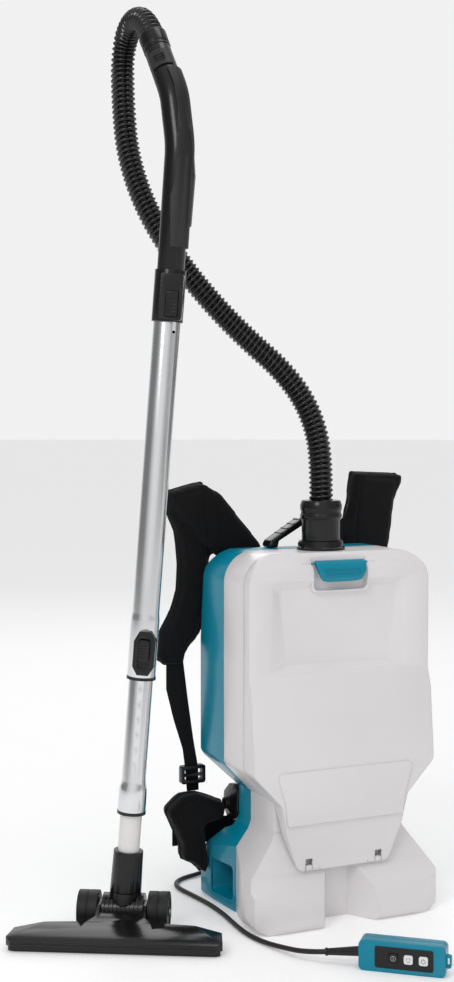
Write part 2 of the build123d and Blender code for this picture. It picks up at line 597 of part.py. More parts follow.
def make_nozzle_cover():
    arms = both_sides(along_x(outline(ARM_VIEW, 2), ARM_INNER, ARM_OUTER))
    bottom = cuboid(-112, 112, -100, -54, 0, 12)
    barrel_room = rod_x(BARREL_R + RUN_GAP, -ARM_INNER, ARM_INNER, 0, PIVOT_Z)
    wheel_room = both_sides(rod_x(WHEEL_R + 1, WHEEL_INNER - 0.6, WHEEL_OUTER + 1, 0, PIVOT_Z))
    shell = nozzle_hull(0) - nozzle_hull(2.4) - bottom
    return nozzle_place * (shell + arms - barrel_room - wheel_room - rod_x(AXLE_R, -70, 70, 0, PIVOT_Z))


def make_nozzle_sole():
    plate = along_z(sole_plan(SOLE_EDGE), 3, 7.8)
    rim = along_z(sole_plan(SOLE_EDGE) - sole_plan(SOLE_EDGE + 3), 0.6, 3)
    mouth = rounded_box(-112, 112, -90, -74, 0, 12, 4, "Z")
    return nozzle_place * (plate + rim - mouth)


def make_nozzle_strips():
    strips = [cuboid(-118, 118, y, y + 3.4, 0, 3) for y in (-97, -64)]
    return nozzle_place * Compound(children=strips)


def make_axle():
    """Two stubs, one each side of the airway."""
    return nozzle_place * Compound(children=both_sides(rod_x(AXLE_R, AXLE_INNER, AXLE_OUTER, 0, PIVOT_Z)))


def make_wheel(side):
    x0, x1 = (WHEEL_INNER, WHEEL_OUTER) if side > 0 else (-WHEEL_OUTER, -WHEEL_INNER)
    rim = along_x(Circle(WHEEL_R), x0, x1)
    tyre_groove = along_x(Circle(WHEEL_R + 1) - Circle(WHEEL_R - 0.8), (x0 + x1) / 2 - 1, (x0 + x1) / 2 + 1)
    face = x1 if side > 0 else x0
    dish = along_x(Circle(20) - Circle(7), face - 1.5, face + 1.5)
    bore = along_x(Circle(AXLE_R + PIN_FIT), -80, 80)
    return nozzle_place * Pos(0, 0, PIVOT_Z) * (rim - tyre_groove - dish - bore)


# ---- remote handset on its cable --------------------------------------------------------------
handset_place = Pos(*HANDSET_START) * Rot(0, 0, HANDSET_YAW)
HALF_DEPTH = HANDSET_DEPTH / 2
BUTTON_CENTRES = {"boost": 47.0, "mode": 67.0, "power": 87.0}
BUTTON_SIDE = 12.0
CABLE_EXIT = (0, HALF_DEPTH, HANDSET_HEIGHT / 2)
RELIEF_DIRECTION = Vector(-1, 0, -0.12).normalized()
RELIEF_LENGTH = 48.0


def case_block(inset):
    return rounded_box(inset, HANDSET_LENGTH - inset, inset, HANDSET_DEPTH - inset, inset,
                       HANDSET_HEIGHT - inset, 7 - inset)


def make_handset_half(y0, y1):
    shell = (case_block(0) - case_block(2)) & cuboid(-10, 130, y0, y1, -5, 60)
    holes = [rounded_box(x - 6.4, x + 6.4, -5, 5, 14.1, 26.9, 3) for x in BUTTON_CENTRES.values()]
    return handset_place * (shell - holes)


def make_handset_panel():
    plate = rounded_box(22, 100, -0.8, 0, 6, 35, 3)
    holes = [rounded_box(x - 6.4, x + 6.4, -5, 5, 14.1, 26.9, 3) for x in BUTTON_CENTRES.values()]
    return handset_place * (plate - holes)


def make_button(x):
    half = BUTTON_SIDE / 2
    cap = rounded_box(x - half, x + half, -2.4, 4, 20.5 - half, 20.5 + half, 2.8)
    return handset_place * (cap + rounded_box(x - 8, x + 8, 3.2, 4.4, 12, 29, 2))


def make_handset_front():
    """Front shell with the lanyard loop at its far end."""
    loop = rounded_box(HANDSET_LENGTH - 1, HANDSET_LENGTH + 7, 5, 13, 12, 29, 3)
    loop = loop - rounded_box(HANDSET_LENGTH + 1.5, HANDSET_LENGTH + 4.5, 0, 30, 15, 26, 1.2) - case_block(1)
    return handset_place * loop + make_handset_half(-5, HALF_DEPTH)


def make_handset_back():
    """Back shell with the lugs and pin of the belt clip."""
    lugs = [cuboid(x, x + 3, HANDSET_DEPTH - 1, HANDSET_DEPTH + 7, 28, 37) for x in (38, 71)]
    pin = rod_x(1.5, 38, 74, HANDSET_DEPTH + 3.6, 32.5)
    return handset_place * (lugs[0] + lugs[1] + pin) + make_handset_half(HALF_DEPTH, 60)


def make_belt_clip():
    side = [(HANDSET_DEPTH + 5.2, 5), (HANDSET_DEPTH + 1, 7), (HANDSET_DEPTH + 5, 14), (HANDSET_DEPTH + 5.4, 30),
            (HANDSET_DEPTH + 2, 36), (HANDSET_DEPTH + 7, 38), (HANDSET_DEPTH + 8, 30), (HANDSET_DEPTH + 7.6, 12)]
    plate = along_x(outline(side), 42, 70) + rod_x(3, 42, 70, HANDSET_DEPTH + 3.6, 32.5)
    return handset_place * (plate - rod_x(1.5 + PIN_FIT, 30, 80, HANDSET_DEPTH + 3.6, 32.5))


def make_strain_relief():
    place = Plane(CABLE_EXIT, z_dir=RELIEF_DIRECTION).location
    cone = turned([(0, -4), (6.8, -4), (6.8, 2), (4.6, RELIEF_LENGTH - 3), (5.4, RELIEF_LENGTH - 3),
                   (5.4, RELIEF_LENGTH), (0, RELIEF_LENGTH)])
    return handset_place * (place * cone - cuboid(0, 20, 0, 28, 0, 41))


relief_tip = (handset_place * Pos(*(Vector(*CABLE_EXIT) + RELIEF_DIRECTION * RELIEF_LENGTH))).position
CABLE_ROUTE.append(tuple(relief_tip))

# ---- build and write every piece --------------------------------------------------------------
parts["rear_housing"] = make_rear_housing()
parts["front_housing"] = make_front_housing()
parts["front_cover"] = make_front_cover()
parts["cover_latch"] = make_latch()
parts["cover_hinge_pin"] = rod_x(HINGE_PIN_R, -62, 62, HINGE_Y, HINGE_Z)
parts["bulkhead"] = make_bulkhead()
parts["exhaust_filter"] = make_filter()
parts["dust_bag"] = make_bag()
parts["bag_collar"] = make_bag_collar()
parts["motor"] = make_motor()
parts["fan_shroud"] = make_shroud()
parts["fan_impeller"] = make_impeller()
parts["control_board"] = make_board()
parts["battery_terminals"] = make_terminals()
parts["cable_gland"] = make_gland()
parts["inlet_socket"] = make_socket()
parts["hose_cuff"] = make_hose_cuff()
parts["hose"] = cord_tube("hose", HOSE_ROUTE, HOSE_D)
parts["hose_end_cuff"] = make_hose_end_cuff()
parts["harness_plate"] = make_harness_plate()
parts["back_pad"] = make_back_pad()
parts["shoulder_pad_left"] = make_shoulder_pad(LEFT_STRAP_VIEW, LEFT_PAD_VIEW)
parts["shoulder_pad_right"] = make_shoulder_pad(RIGHT_STRAP_VIEW, RIGHT_PAD_VIEW)
parts["strap_webbing"] = make_strap_webbing()
parts["strap_adjusters"] = make_strap_adjusters()
parts["hip_brackets"] = make_hip_brackets()
parts["hip_pads"] = Compound(children=both_sides(make_hip_pad()))
parts["belt_webbing"] = make_belt_webbing()
parts["buckle_socket"] = make_buckle_socket()
parts["buckle_tongue"] = make_buckle_tongue()
parts["carry_handle"] = make_carry_handle()
parts["handle_pipe"] = make_handle_pipe()
parts["handle_grip"] = make_handle_grip()
parts["bleed_slider"] = make_bleed_slider()
parts["tube_connector"] = make_connector()
parts["release_tab"] = make_release_tab()
parts["outer_tube"] = make_outer_tube()
parts["tube_wiper"] = make_socket_ring()
parts["telescope_case"] = make_telescope_case()
parts["telescope_slider"] = make_telescope_slider()
parts["inner_tube"] = make_inner_tube()
parts["tube_end_ring"] = make_tube_end_ring()
parts["connector_pipe"] = make_connector_pipe()
parts["nozzle_neck"] = make_neck()
parts["nozzle_elbow"] = make_elbow()
parts["nozzle_cover"] = make_nozzle_cover()
parts["nozzle_sole"] = make_nozzle_sole()
parts["nozzle_strips"] = make_nozzle_strips()
parts["nozzle_axle"] = make_axle()
parts["wheel_left"] = make_wheel(-1)
parts["wheel_right"] = make_wheel(1)
parts["handset_front"] = make_handset_front()
parts["handset_back"] = make_handset_back()
parts["handset_panel"] = make_handset_panel()
for button_name, button_x in BUTTON_CENTRES.items():
    parts[f"button_{button_name}"] = make_button(button_x)
parts["belt_clip"] = make_belt_clip()
parts["strain_relief"] = make_strain_relief()
parts["remote_cable"] = cord_tube("remote_cable", CABLE_ROUTE, CABLE_D)

os.makedirs("parts", exist_ok=True)
for name, shape in parts.items():
    if not shape.is_valid or shape.volume <= 0:
        print("CHECK", name)
    export_step(shape, f"parts/{name}.step")
print(len(parts), "nodes")
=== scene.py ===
import bpy
import bmesh
import json
import math
from mathutils import Matrix, Vector
from mathutils.kdtree import KDTree

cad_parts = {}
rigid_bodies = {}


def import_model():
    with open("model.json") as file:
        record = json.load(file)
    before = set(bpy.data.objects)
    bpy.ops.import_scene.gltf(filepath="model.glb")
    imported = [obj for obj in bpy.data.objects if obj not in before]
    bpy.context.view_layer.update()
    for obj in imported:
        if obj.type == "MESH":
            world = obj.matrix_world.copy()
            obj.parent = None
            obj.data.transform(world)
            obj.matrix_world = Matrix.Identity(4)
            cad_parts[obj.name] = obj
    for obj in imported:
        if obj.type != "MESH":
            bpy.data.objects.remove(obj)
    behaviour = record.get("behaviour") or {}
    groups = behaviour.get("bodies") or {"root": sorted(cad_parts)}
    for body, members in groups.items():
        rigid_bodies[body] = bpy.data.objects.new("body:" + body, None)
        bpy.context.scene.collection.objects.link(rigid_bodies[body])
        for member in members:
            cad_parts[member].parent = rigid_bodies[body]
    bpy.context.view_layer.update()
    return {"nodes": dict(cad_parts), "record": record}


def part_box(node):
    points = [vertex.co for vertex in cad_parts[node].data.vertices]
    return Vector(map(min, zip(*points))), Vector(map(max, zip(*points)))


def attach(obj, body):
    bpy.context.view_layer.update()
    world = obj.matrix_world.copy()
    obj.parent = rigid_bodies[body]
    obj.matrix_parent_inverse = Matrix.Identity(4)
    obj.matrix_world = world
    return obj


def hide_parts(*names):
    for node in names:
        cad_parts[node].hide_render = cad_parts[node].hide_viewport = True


# Looks of the backpack vacuum cleaner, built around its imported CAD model. Metres, +Z up.
for leftover in list(bpy.data.objects):
    bpy.data.objects.remove(leftover)
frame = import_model()
NODES = frame["nodes"]
MM = 0.001

# ---- camera -----------------------------------------------------------------------------------
CAMERA_PLACE = (-1.060, -2.010, 0.740)
CAMERA_TURN = (87.05, 0.0, -24.6)
CAMERA_LENS = 55.43

camera_data = bpy.data.cameras.new("camera")
camera_data.sensor_fit = "VERTICAL"
camera_data.sensor_height = 36.0
camera_data.lens = CAMERA_LENS
camera_data.clip_end = 200.0
camera = bpy.data.objects.new("camera", camera_data)
camera.location = CAMERA_PLACE
camera.rotation_euler = [math.radians(a) for a in CAMERA_TURN]
bpy.context.scene.collection.objects.link(camera)
bpy.context.scene.camera = camera


# ---- materials --------------------------------------------------------------------------------
def add_node(tree, kind, **settings):
    node = tree.nodes.new(kind)
    for key, value in settings.items():
        if key in node.inputs:
            node.inputs[key].default_value = value
        else:
            setattr(node, key, value)
    return node


def shaded(colour, factor):
    return tuple(min(1.0, c * factor) for c in colour) + (1.0,)


def new_material(name, colour, roughness, spread=0.06, patch=9.0, wear=0.0, **shader_values):
    """Principled material whose colour drifts gently over the piece. Returns it with its coordinates and shader."""
    material = bpy.data.materials.new(name)
    material.use_nodes = True
    tree = material.node_tree
    shader = tree.nodes["Principled BSDF"]
    for key, value in shader_values.items():
        shader.inputs[key.replace("_", " ")].default_value = value
    place = tree.nodes.new("ShaderNodeTexCoord")
    drift = add_node(tree, "ShaderNodeTexNoise", Scale=patch, Detail=5.0)
    tree.links.new(place.outputs["Object"], drift.inputs["Vector"])
    ramp = tree.nodes.new("ShaderNodeValToRGB")
    ramp.color_ramp.elements[0].position = 0.3
    ramp.color_ramp.elements[1].position = 0.7
    ramp.color_ramp.elements[0].color = shaded(colour, 1 - spread)
    ramp.color_ramp.elements[1].color = shaded(colour, 1 + spread)
    tree.links.new(drift.outputs["Fac"], ramp.inputs["Fac"])
    result = ramp.outputs["Color"]
    if wear:
        # handled edges are rubbed a little paler
        geometry = tree.nodes.new("ShaderNodeNewGeometry")
        edge = tree.nodes.new("ShaderNodeMapRange")
        edge.inputs["From Min"].default_value = 0.52
        edge.inputs["From Max"].default_value = 0.62
        edge.inputs["To Max"].default_value = wear
        mix = tree.nodes.new("ShaderNodeMix")
        mix.data_type = "RGBA"
        tree.links.new(geometry.outputs["Pointiness"], edge.inputs["Value"])
        tree.links.new(edge.outputs["Result"], mix.inputs["Factor"])
        tree.links.new(result, mix.inputs["A"])
        mix.inputs["B"].default_value = shaded([c * 0.6 + 0.35 for c in colour], 1.0)
        result = mix.outputs["Result"]
    tree.links.new(result, shader.inputs["Base Color"])
    gloss = tree.nodes.new("ShaderNodeMapRange")
    gloss.inputs["To Min"].default_value = max(0.02, roughness - 0.06)
    gloss.inputs["To Max"].default_value = roughness + 0.06
    tree.links.new(drift.outputs["Fac"], gloss.inputs["Value"])
    tree.links.new(gloss.outputs["Result"], shader.inputs["Roughness"])
    return material, place, shader


def add_bump(material, source, shader, strength, distance, soft_edge=0.0):
    """Bump from a height output, over edges that the light sees as rounded by soft_edge metres."""
    tree = material.node_tree
    bump = add_node(tree, "ShaderNodeBump", Strength=strength, Distance=distance)
    tree.links.new(source, bump.inputs["Height"])
    if soft_edge:
        edge = tree.nodes.new("ShaderNodeBevel")
        edge.samples = 4
        edge.inputs["Radius"].default_value = soft_edge
        tree.links.new(edge.outputs["Normal"], bump.inputs["Normal"])
    tree.links.new(bump.outputs["Normal"], shader.inputs["Normal"])


def moulded(name, colour, roughness, grain=900.0, strength=0.12, soft_edge=0.0008, **more):
    """Injection-moulded plastic with a fine spark-eroded grain."""
    material, place, shader = new_material(name, colour, roughness, **more)
    texture = add_node(material.node_tree, "ShaderNodeTexNoise", Scale=grain, Detail=3.0)
    material.node_tree.links.new(place.outputs["Object"], texture.inputs["Vector"])
    add_bump(material, texture.outputs["Fac"], shader, strength, 0.0002, soft_edge)
    return material


def stretched(name, colour, roughness, stretch, grain=300.0, strength=0.2, **more):
    """Surface whose grain is drawn out along one axis, as on brushed or drawn metal."""
    material, place, shader = new_material(name, colour, roughness, **more)
    tree = material.node_tree
    mapping = add_node(tree, "ShaderNodeMapping", Scale=stretch)
    texture = add_node(tree, "ShaderNodeTexNoise", Scale=grain, Detail=4.0)
    tree.links.new(place.outputs["Object"], mapping.inputs["Vector"])
    tree.links.new(mapping.outputs["Vector"], texture.inputs["Vector"])
    add_bump(material, texture.outputs["Fac"], shader, strength, 0.0001)
    return material


def woven(name, colour, pitch, strength=0.6, diagonal=False, roughness=0.85, **more):
    """Two crossing sets of yarns, pitch metres apart."""
    material, place, shader = new_material(name, colour, roughness, spread=0.14, patch=30.0, **more)
    tree = material.node_tree
    sets = []
    for direction in ("DIAGONAL", "Z") if diagonal else ("X", "Z"):
        yarns = add_node(tree, "ShaderNodeTexWave", Scale=0.314 / pitch, Distortion=0.4)
        yarns.bands_direction = direction
        yarns.inputs["Detail Scale"].default_value = 2.0
        tree.links.new(place.outputs["Object"], yarns.inputs["Vector"])
        sets.append(yarns.outputs["Fac"])
    both = add_node(tree, "ShaderNodeMath", operation="MAXIMUM")
    tree.links.new(sets[0], both.inputs[0])
    tree.links.new(sets[1], both.inputs[1])
    add_bump(material, both.outputs["Value"], shader, strength, pitch * 0.3)
    return material


BLACK = (0.0065, 0.0065, 0.007)
MATERIALS = {
    "white_shell": moulded("white_shell", (0.74, 0.715, 0.725), 0.3, spread=0.015, soft_edge=0.0025,
                           Coat_Weight=0.1, Coat_Roughness=0.25),
    "teal_shell": moulded("teal_shell", (0.0, 0.225, 0.335), 0.24, spread=0.05, wear=0.05, soft_edge=0.002,
                          Specular_IOR_Level=0.25, Coat_Weight=0.06, Coat_Roughness=0.15),
    "black_plastic": moulded("black_plastic", BLACK, 0.2, spread=0.15, wear=0.02, Specular_IOR_Level=0.35),
    "hose_plastic": moulded("hose_plastic", (0.005, 0.005, 0.0055), 0.13, spread=0.15, grain=500.0, soft_edge=0.0,
                            Specular_IOR_Level=0.5),
    "grip_rubber": moulded("grip_rubber", (0.014, 0.014, 0.015), 0.5, grain=1400.0, strength=0.3, wear=0.04,
                           Specular_IOR_Level=0.3),
    "wheel_rubber": moulded("wheel_rubber", (0.009, 0.009, 0.009), 0.5, grain=700.0, strength=0.35, wear=0.05,
                            Specular_IOR_Level=0.3),
    "tube_aluminium": stretched("tube_aluminium", (0.72, 0.73, 0.74), 0.2, (1.0, 1.0, 0.02), grain=900.0,
                                spread=0.03, Metallic=1.0),
    "pale_plastic": moulded("pale_plastic", (0.78, 0.77, 0.755), 0.34, spread=0.02),
    "pad_fabric": woven("pad_fabric", (0.007, 0.007, 0.0078), 0.0016, Specular_IOR_Level=0.15,
                        Sheen_Weight=0.09, Sheen_Roughness=0.4),
    "webbing": woven("webbing", (0.005, 0.005, 0.0055), 0.0012, strength=0.9, diagonal=True, roughness=0.7,
                     Specular_IOR_Level=0.2, Sheen_Weight=0.03),
    "bag_paper": woven("bag_paper", (0.62, 0.55, 0.42), 0.0009, strength=0.3),
    "bag_card": moulded("bag_card", (0.45, 0.34, 0.21), 0.8, grain=220.0, strength=0.3, spread=0.1),
    "strip_fabric": woven("strip_fabric", (0.19, 0.018, 0.02), 0.0007, strength=1.0),
    "steel": stretched("steel", (0.56, 0.56, 0.57), 0.3, (0.03, 1.0, 1.0), Metallic=1.0),
    "motor_metal": moulded("motor_metal", (0.1, 0.1, 0.11), 0.5, grain=260.0, strength=0.4, Metallic=0.6),
    "circuit_board": moulded("circuit_board", (0.012, 0.11, 0.05), 0.3, grain=160.0, strength=0.1, spread=0.2),
    "inner_frame": moulded("inner_frame", (0.09, 0.095, 0.1), 0.5, spread=0.1),
    "cable_rubber": moulded("cable_rubber", (0.016, 0.0135, 0.0135), 0.45, grain=1200.0, strength=0.3,
                            soft_edge=0.0, Specular_IOR_Level=0.35),
}
MARK_DARK = moulded("mark_dark", (0.03, 0.03, 0.032), 0.5, soft_edge=0.0)
MARK_PALE = moulded("mark_pale", (0.5, 0.5, 0.5), 0.5, soft_edge=0.0)

SLOT_OF = {row["node"]: row["material_slot"] for row in frame["record"]["subparts"]}
BODY_OF = {}
for body_name, members in frame["record"]["behaviour"]["bodies"].items():
    for member in members:
        BODY_OF[member] = body_name


def paint(piece, material):
    piece.data.materials.clear()
    piece.data.materials.append(material)


for node_name, node_object in NODES.items():
    paint(node_object, MATERIALS[SLOT_OF[node_name]])


# ---- mesh helpers -----------------------------------------------------------------------------
def link_mesh(name, mesh, body, slot, material=None):
    piece = bpy.data.objects.new(name, mesh)
    bpy.context.scene.collection.objects.link(piece)
    paint(piece, material or MATERIALS[slot])
    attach(piece, body)
    return piece


def mesh_of(bm, name):
    mesh = bpy.data.meshes.new(name)
    bmesh.ops.recalc_face_normals(bm, faces=bm.faces)
    bm.to_mesh(mesh)
    bm.free()
    return mesh


def smooth_by_angle(mesh, degrees=35.0):
    mesh.polygons.foreach_set("use_smooth", [True] * len(mesh.polygons))
    mesh.set_sharp_from_angle(angle=math.radians(degrees))


def with_modifiers(source, name, modifiers):
    """A new mesh: source with (type, settings) modifiers applied in order."""
    worker = bpy.data.objects.new(name, source)
    bpy.context.scene.collection.objects.link(worker)
    for kind, settings in modifiers:
        modifier = worker.modifiers.new(kind.lower(), kind)
        for key, value in settings.items():
            setattr(modifier, key, value)
    graph = bpy.context.evaluated_depsgraph_get()
    graph.update()
    result = bpy.data.meshes.new_from_object(worker.evaluated_get(graph))
    bpy.data.objects.remove(worker)
    return result


def soften(node, width, segments=3):
    """Gives a moulded CAD node the rounded edges of a real moulding."""
    bm = bmesh.new()
    bm.from_mesh(NODES[node].data)
    bmesh.ops.remove_doubles(bm, verts=bm.verts, dist=1e-6)
    bmesh.ops.dissolve_limit(bm, angle_limit=math.radians(1.0), verts=bm.verts, edges=bm.edges)
    clean = mesh_of(bm, node + "_clean")
    bevel = ("BEVEL", {"width": width, "segments": segments, "limit_method": "ANGLE",
                       "angle_limit": math.radians(38), "use_clamp_overlap": True})
    mesh = with_modifiers(clean, node + "_work", [bevel])
    smooth_by_angle(mesh)
    piece = link_mesh(node + "_moulding", mesh, BODY_OF[node], SLOT_OF[node])
    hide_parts(node)
    return piece


def add_bar(bm, size, place, bevel):
    """A small bar with rounded edges, added to bm."""
    made = bmesh.ops.create_cube(bm, size=1.0, matrix=place @ Matrix.Diagonal((*size, 1.0)))
    edges = list({e for v in made["verts"] for e in v.link_edges})
    bmesh.ops.bevel(bm, geom=edges, offset=bevel, segments=2, affect="EDGES", profile=0.5)


def transported(points):
    """Two directions across the line at each point, carried along it without twist."""
    tangents = []
    for i in range(len(points)):
        tangents.append((points[min(i + 1, len(points) - 1)] - points[max(i - 1, 0)]).normalized())
    across = tangents[0].orthogonal().normalized()
    frames = []
    for tangent in tangents:
        across = (across - tangent * across.dot(tangent)).normalized()
        frames.append((across, tangent.cross(across)))
    return frames


def resampled(points, step):
    """Points an even distance apart along a line."""
    lengths = [0.0]
    for a, b in zip(points, points[1:]):
        lengths.append(lengths[-1] + (b - a).length)
    count = max(2, round(lengths[-1] / step))
    result, k = [], 0
    for i in range(count + 1):
        wanted = lengths[-1] * i / count
        while k < len(lengths) - 2 and lengths[k + 1] < wanted:
            k += 1
        part = (wanted - lengths[k]) / max(lengths[k + 1] - lengths[k], 1e-9)
        result.append(points[k].lerp(points[k + 1], min(1.0, part)))
    return result, lengths[-1]


def tube_mesh(name, points, radius_at, sides, closed=False):
    """A skin round a line. radius_at(distance along it, angle) gives its radius."""
    bm = bmesh.new()
    frames = transported(points)
    rings, travelled = [], 0.0
    for i, (point, (u, v)) in enumerate(zip(points, frames)):
        if i:
            travelled += (point - points[i - 1]).length
        ring = []
        for k in range(sides):
            angle = 2 * math.pi * k / sides
            radius = radius_at(travelled, angle)
            ring.append(bm.verts.new(point + (u * math.cos(angle) + v * math.sin(angle)) * radius))
        rings.append(ring)
    pairs = list(zip(rings, rings[1:]))
    if closed:
        pairs.append((rings[-1], rings[0]))
    for a, b in pairs:
        for k in range(sides):
            bm.faces.new((a[k], a[(k + 1) % sides], b[(k + 1) % sides], b[k]))
    if not closed:
        bm.faces.new(list(reversed(rings[0])))
        bm.faces.new(rings[-1])
    mesh = mesh_of(bm, name)
    smooth_by_angle(mesh, 50)
    return mesh


# ---- hose and cable ---------------------------------------------------------------------------
HOSE_ROUTE = [(0, -0.030, 0.590), (0.0003, -0.0303, 0.648), (-0.0035, -0.026, 0.708), (-0.020, -0.014, 0.760),
              (-0.050, 0.0045, 0.806), (-0.091, 0.029, 0.848), (-0.133, 0.054, 0.897), (-0.180, 0.081, 0.962),
              (-0.223, 0.106, 1.041), (-0.247, 0.121, 1.122), (-0.253, 0.124, 1.200), (-0.254, 0.124, 1.278),
              (-0.254, 0.082, 1.313), (-0.2514, 0.0326, 1.3024), (-0.2465, 0.0106, 1.2624)]
CABLE_ROUTE = [(-0.070, 0.143, 0.024), (-0.071, 0.163, 0.0195), (-0.086, 0.177, 0.009), (-0.112, 0.176, 0.004),
               (-0.140, 0.167, 0.004), (-0.160, 0.151, 0.004), (-0.167, 0.124, 0.004), (-0.160, 0.082, 0.004),
               (-0.154, 0.034, 0.004), (-0.153, -0.016, 0.004), (-0.157, -0.064, 0.004), (-0.159, -0.108, 0.004),
               (-0.152, -0.150, 0.0044), (-0.139, -0.190, 0.0074), (-0.126, -0.2251, 0.0115),
               (-0.1049, -0.2433, 0.0148)]
HOSE_D, CABLE_D = 0.036, 0.007
RIB_PITCH = 0.0075          # one turn of the hose's wire
RIB_DEPTH = 0.0034


def nurbs_curve(name, route):
    data = bpy.data.curves.new(name, "CURVE")
    data.dimensions = "3D"
    spline = data.splines.new("NURBS")
    spline.points.add(len(route) - 1)
    for point, place in zip(spline.points, route):
        point.co = (*place, 1.0)
    spline.order_u = 3
    spline.use_endpoint_u = True
    data.resolution_u = 24
    return data


def line_of(route):
    """Points read from the route's own spline."""
    worker = bpy.data.objects.new("route_line", nurbs_curve("route_line", route))
    bpy.context.scene.collection.objects.link(worker)
    graph = bpy.context.evaluated_depsgraph_get()
    mesh = bpy.data.meshes.new_from_object(worker.evaluated_get(graph))
    points = [v.co.copy() for v in mesh.vertices]
    bpy.data.objects.remove(worker)
    return points


def rib(travelled, angle):
    """Radius of the hose: a rounded rib that winds once per pitch."""
    phase = (travelled / RIB_PITCH - angle / (2 * math.pi)) % 1.0
    crest = 0.5 + 0.5 * math.cos(2 * math.pi * phase)
    return HOSE_D / 2 - RIB_DEPTH * (1 - crest ** 0.6)


hose_line, hose_length = resampled(line_of(HOSE_ROUTE), RIB_PITCH / 8)
hose = link_mesh("hose_ribbed", tube_mesh("hose_ribbed", hose_line, rib, 40), "pack", "hose_plastic")
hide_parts("hose")

cable_data = nurbs_curve("cable_line", CABLE_ROUTE)
cable_data.bevel_depth = CABLE_D / 2
cable_data.bevel_resolution = 6
cable_data.use_fill_caps = True
cable = bpy.data.objects.new("handset_cable", cable_data)
bpy.context.scene.collection.objects.link(cable)
paint(cable, MATERIALS["cable_rubber"])
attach(cable, "pack")
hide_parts("remote_cable")
_, cable_length = resampled(line_of(CABLE_ROUTE), 0.002)

# ---- mouldings with rounded edges -------------------------------------------------------------
SOFT_EDGES = {
    "front_housing": 1.3, "rear_housing": 1.3, "front_cover": 1.3, "carry_handle": 2.2,
    "nozzle_cover": 0.9, "nozzle_sole": 0.6, "telescope_case": 1.6, "telescope_slider": 0.8,
    "tube_connector": 0.7, "release_tab": 0.5, "handset_panel": 0.25, "button_boost": 0.5, "button_mode": 0.5,
    "button_power": 0.5, "hip_brackets": 1.2, "strap_adjusters": 0.6, "buckle_socket": 1.0,
    "buckle_tongue": 0.8, "wheel_left": 1.4, "wheel_right": 1.4, "belt_clip": 0.5, "outer_tube": 0.25,
    "inner_tube": 0.2, "connector_pipe": 0.3, "nozzle_neck": 0.6, "hose_cuff": 0.5, "inlet_socket": 0.6,
    "hose_end_cuff": 0.4, "handle_pipe": 0.3, "handle_grip": 0.9, "handset_front": 0.5, "handset_back": 0.5,
}
for node_name, width in SOFT_EDGES.items():
    soften(node_name, width * MM)

# ---- small moulded detail ---------------------------------------------------------------------
# ribs across the arch of the carry handle
ribs = bmesh.new()
for step in range(-4, 5):
    x = step * 10.5
    slope = 0.0 if abs(x) <= 10 else math.copysign(math.atan2(31, 50), x)
    height = 580.0 - max(0.0, abs(x) - 10) * 31 / 50
    place = Matrix.Translation(Vector((x, 27, height - 0.2)) * MM) @ Matrix.Rotation(slope, 4, "Y")
    add_bar(ribs, (0.0034, 0.0225, 0.0022), place, 0.0007)
link_mesh("carry_handle_ribs", mesh_of(ribs, "carry_handle_ribs"), "pack", "black_plastic")

# moulding lines along the nozzle's front lip
NOZZLE_PLACE = Matrix.Translation((-0.3053, -0.0074, 0.0)) @ Matrix.Rotation(math.radians(-29.3), 4, "Z")
lines = bmesh.new()
for height, half in ((10.6, 140), (14.2, 139)):
    place = NOZZLE_PLACE @ Matrix.Translation(Vector((0, -105.2, height)) * MM)
    add_bar(lines, (2 * half * MM, 0.0016, 0.0013), place, 0.0004)
link_mesh("nozzle_lip_lines", mesh_of(lines, "nozzle_lip_lines"), "nozzle", "black_plastic")

# ---- cover latch: a curved shell round its pin --------------------------------------------------
# (y, z) outlines in mm, inside the CAD latch's own outline
LATCH_OUTER = [(-96.6, 496), (-99, 497.6), (-101, 504), (-100.4, 511), (-98.2, 518.5), (-94, 524.5), (-89.6, 527.4)]
LATCH_INNER = [(-86, 527.3), (-86, 524.2), (-91, 519.6), (-94, 512), (-94.6, 504), (-94.4, 497.4)]
LATCH_TOP_HALF, LATCH_FOOT_HALF = 41.5, 33.0
LATCH_FOOT = 496.0


def latch_shell():
    profile = LATCH_OUTER + LATCH_INNER
    bm = bmesh.new()
    columns = []
    for step in range(-20, 21):
        u = step / 20
        column = []
        for y, z in profile:
            half = LATCH_FOOT_HALF + (LATCH_TOP_HALF - LATCH_FOOT_HALF) * min(1.0, (z - LATCH_FOOT) / 22)
            back = 1.2 * abs(u) ** 10
            foot = 3.0 * abs(u) ** 6 * max(0.0, 1 - (z - LATCH_FOOT) / 14)
            column.append(bm.verts.new(Vector((u * half, y + back, z + foot)) * MM))
        columns.append(column)
    size = len(profile)
    for a, b in zip(columns, columns[1:]):
        for k in range(size):
            bm.faces.new((a[k], a[(k + 1) % size], b[(k + 1) % size], b[k]))
    bm.faces.new(columns[0])
    bm.faces.new(list(reversed(columns[-1])))
    mesh = with_modifiers(mesh_of(bm, "latch_cage"), "latch_work", [("SUBSURF", {"levels": 2, "render_levels": 2})])
    smooth_by_angle(mesh, 60)
    piece = link_mesh("cover_latch_shell", mesh, "latch", "teal_shell")
    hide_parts("cover_latch")


latch_shell()
latch_pin = [Vector((x, -87.5, 523)) * MM for x in (-45.5, -20, 20, 45.5)]
link_mesh("cover_latch_pin", tube_mesh("cover_latch_pin", latch_pin, lambda s, a: 0.0015, 16), "latch", "teal_shell")
ridges = bmesh.new()
for y, z, half in ((-100.8, 505.5, 27), (-100.6, 510.5, 29), (-99.4, 515.5, 31)):
    add_bar(ridges, (2 * half * MM, 0.0014, 0.0016), Matrix.Translation(Vector((0, y, z)) * MM), 0.0005)
link_mesh("cover_latch_ridges", mesh_of(ridges, "cover_latch_ridges"), "latch", "teal_shell")

